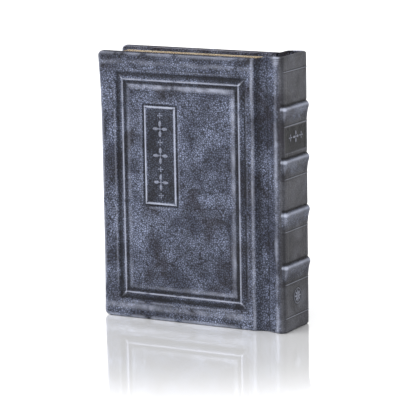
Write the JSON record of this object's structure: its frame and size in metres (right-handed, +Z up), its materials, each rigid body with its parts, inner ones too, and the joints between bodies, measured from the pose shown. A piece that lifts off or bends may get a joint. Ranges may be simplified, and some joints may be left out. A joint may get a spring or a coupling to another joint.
{
  "type": "leather-bound book",
  "caption": "Closed hardback book in antiqued leather with raised spine bands and gilt leaves; the covers open and the leaves fan out.",
  "frame": {"origin": "middle of the bounding box's base, standing on the tail edge", "axes": "+X from the fore-edge to the spine, +Y from the front cover to the back cover, +Z up to the head"},
  "size_m": [0.1446, 0.0392, 0.192],
  "materials": {
    "blue_leather": "antiqued goatskin, satin",
    "spine_leather": "smoother goatskin, satin",
    "greyboard": "pressed grey board",
    "book_paper": "cream paper, gilt at the edges",
    "endpaper": "heavier uncoated paper",
    "lining_cloth": "open-weave mull",
    "linen_tape": "woven linen tape",
    "endband_silk": "two-colour woven band"
  },
  "bodies": {
    "spine": {"spine_stiffener": "greyboard", "raised_bands": "greyboard", "spine_leather": "spine_leather"},
    "front_joint": {"front_joint_leather": "blue_leather"},
    "front_cover": {"front_board": "greyboard", "front_border_card": "greyboard", "front_moulding_card": "greyboard", "front_panel_card": "greyboard", "front_leather": "blue_leather", "front_pastedown": "endpaper"},
    "front_flyleaf": {"front_flyleaf": "endpaper"},
    "back_joint": {"back_joint_leather": "blue_leather"},
    "back_cover": {"back_board": "greyboard", "back_border_card": "greyboard", "back_moulding_card": "greyboard", "back_panel_card": "greyboard", "back_leather": "blue_leather", "back_pastedown": "endpaper"},
    "back_flyleaf": {"back_flyleaf": "endpaper"},
    "leaves_1": {"section_01": "book_paper", "section_02": "book_paper", "sewing_tapes_1": "linen_tape", "spine_lining_1": "lining_cloth", "endbands_1": "endband_silk"},
    "leaves_2": {"section_03": "book_paper", "section_04": "book_paper", "sewing_tapes_2": "linen_tape", "spine_lining_2": "lining_cloth", "endbands_2": "endband_silk"},
    "leaves_3": {"section_05": "book_paper", "section_06": "book_paper", "sewing_tapes_3": "linen_tape", "spine_lining_3": "lining_cloth", "endbands_3": "endband_silk"},
    "leaves_4": {"section_07": "book_paper", "section_08": "book_paper", "sewing_tapes_4": "linen_tape", "spine_lining_4": "lining_cloth", "endbands_4": "endband_silk"},
    "leaves_5": {"section_09": "book_paper", "section_10": "book_paper", "sewing_tapes_5": "linen_tape", "spine_lining_5": "lining_cloth", "endbands_5": "endband_silk"},
    "leaves_6": {"section_11": "book_paper", "section_12": "book_paper", "sewing_tapes_6": "linen_tape", "spine_lining_6": "lining_cloth", "endbands_6": "endband_silk"},
    "leaves_7": {"section_13": "book_paper", "section_14": "book_paper", "sewing_tapes_7": "linen_tape", "spine_lining_7": "lining_cloth", "endbands_7": "endband_silk"},
    "leaves_8": {"section_15": "book_paper", "section_16": "book_paper", "sewing_tapes_8": "linen_tape", "spine_lining_8": "lining_cloth", "endbands_8": "endband_silk"}
  },
  "joints": [
    {"name": "leaves_spread", "type": "hinge", "parent": "spine", "child": "leaves_8", "pos_m": [0.06568, 0.01445, 0.096], "axis": [0, 0, -1], "range_deg": [0, 40]},
    {"name": "leaves_7_turn", "type": "hinge", "parent": "leaves_8", "child": "leaves_7", "pos_m": [0.06568, 0.01084, 0.096], "axis": [0, 0, 1], "range_deg": [0, 11.44]},
    {"name": "leaves_6_turn", "type": "hinge", "parent": "leaves_7", "child": "leaves_6", "pos_m": [0.06568, 0.00722, 0.096], "axis": [0, 0, 1], "range_deg": [0, 11.44]},
    {"name": "leaves_5_turn", "type": "hinge", "parent": "leaves_6", "child": "leaves_5", "pos_m": [0.06568, 0.00361, 0.096], "axis": [0, 0, 1], "range_deg": [0, 11.44]},
    {"name": "leaves_4_turn", "type": "hinge", "parent": "leaves_5", "child": "leaves_4", "pos_m": [0.06568, 0, 0.096], "axis": [0, 0, 1], "range_deg": [0, 11.44]},
    {"name": "leaves_3_turn", "type": "hinge", "parent": "leaves_4", "child": "leaves_3", "pos_m": [0.06568, -0.00361, 0.096], "axis": [0, 0, 1], "range_deg": [0, 11.44]},
    {"name": "leaves_2_turn", "type": "hinge", "parent": "leaves_3", "child": "leaves_2", "pos_m": [0.06568, -0.00722, 0.096], "axis": [0, 0, 1], "range_deg": [0, 11.44]},
    {"name": "leaves_1_turn", "type": "hinge", "parent": "leaves_2", "child": "leaves_1", "pos_m": [0.06568, -0.01084, 0.096], "axis": [0, 0, 1], "range_deg": [0, 11.44]},
    {"name": "front_shoulder_hinge", "type": "hinge", "parent": "spine", "child": "front_joint", "pos_m": [0.06775, -0.0193, 0.096], "axis": [0, 0, 1], "range_deg": [0, 40.01]},
    {"name": "front_cover_hinge", "type": "hinge", "parent": "front_joint", "child": "front_cover", "pos_m": [0.04875, -0.0194, 0.096], "axis": [0, 0, 1], "range_deg": [0, 140]},
    {"name": "front_flyleaf_hinge", "type": "hinge", "parent": "front_joint", "child": "front_flyleaf", "pos_m": [0.04895, -0.01475, 0.096], "axis": [0, 0, 1], "range_deg": [0, 63.01]},
    {"name": "back_shoulder_hinge", "type": "hinge", "parent": "spine", "child": "back_joint", "pos_m": [0.06775, 0.0193, 0.096], "axis": [0, 0, -1], "range_deg": [0, 40.01]},
    {"name": "back_cover_hinge", "type": "hinge", "parent": "back_joint", "child": "back_cover", "pos_m": [0.04875, 0.0194, 0.096], "axis": [0, 0, -1], "range_deg": [0, 140]},
    {"name": "back_flyleaf_hinge", "type": "hinge", "parent": "back_joint", "child": "back_flyleaf", "pos_m": [0.04895, 0.01475, 0.096], "axis": [0, 0, -1], "range_deg": [0, 63.01]}
  ],
  "couplings": [
    {"joint": "leaves_7_turn", "follows": "leaves_spread", "ratio": 0.28571},
    {"joint": "leaves_6_turn", "follows": "leaves_spread", "ratio": 0.28571},
    {"joint": "leaves_5_turn", "follows": "leaves_spread", "ratio": 0.28571},
    {"joint": "leaves_4_turn", "follows": "leaves_spread", "ratio": 0.28571},
    {"joint": "leaves_3_turn", "follows": "leaves_spread", "ratio": 0.28571},
    {"joint": "leaves_2_turn", "follows": "leaves_spread", "ratio": 0.28571},
    {"joint": "leaves_1_turn", "follows": "leaves_spread", "ratio": 0.28571},
    {"joint": "front_shoulder_hinge", "follows": "leaves_spread", "ratio": 1},
    {"joint": "front_flyleaf_hinge", "follows": "front_cover_hinge", "ratio": 0.45},
    {"joint": "back_shoulder_hinge", "follows": "leaves_spread", "ratio": 1},
    {"joint": "back_flyleaf_hinge", "follows": "back_cover_hinge", "ratio": 0.45}
  ]
}
